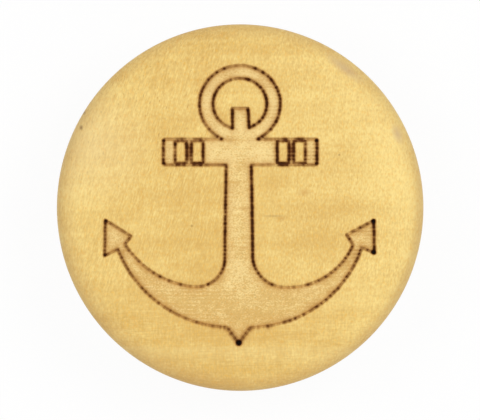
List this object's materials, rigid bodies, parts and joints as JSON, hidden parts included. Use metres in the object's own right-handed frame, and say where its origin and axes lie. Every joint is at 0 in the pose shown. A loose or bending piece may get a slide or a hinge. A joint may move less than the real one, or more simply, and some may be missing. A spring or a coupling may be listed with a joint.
{
  "type": "sew on button",
  "caption": "Round turned wooden shank button with a softened rim, an anchor engraved and burnt into the flat face, and a wire sewing eye on a pressed metal base behind.",
  "frame": {"origin": "lowest point of the wire eye, on the button's axis, where the eye meets the cloth", "axes": "+Z out of the engraved face, +Y up the anchor, +X to the anchor's right as seen from the front"},
  "size_m": [0.0254, 0.0254, 0.0096],
  "materials": {
    "wood": "pale honey hardwood, turned and sanded, thin satin varnish, burnt brown engraving",
    "base_metal": "pressed steel sheet, dull nickel plating",
    "eye_wire": "round steel wire, bright nickel plating",
    "glue": "cured clear amber epoxy"
  },
  "bodies": {
    "root": {"wood_disc": "wood", "shank_base": "base_metal", "shank_eye": "eye_wire", "glue_plug": "glue"}
  },
  "joints": []
}
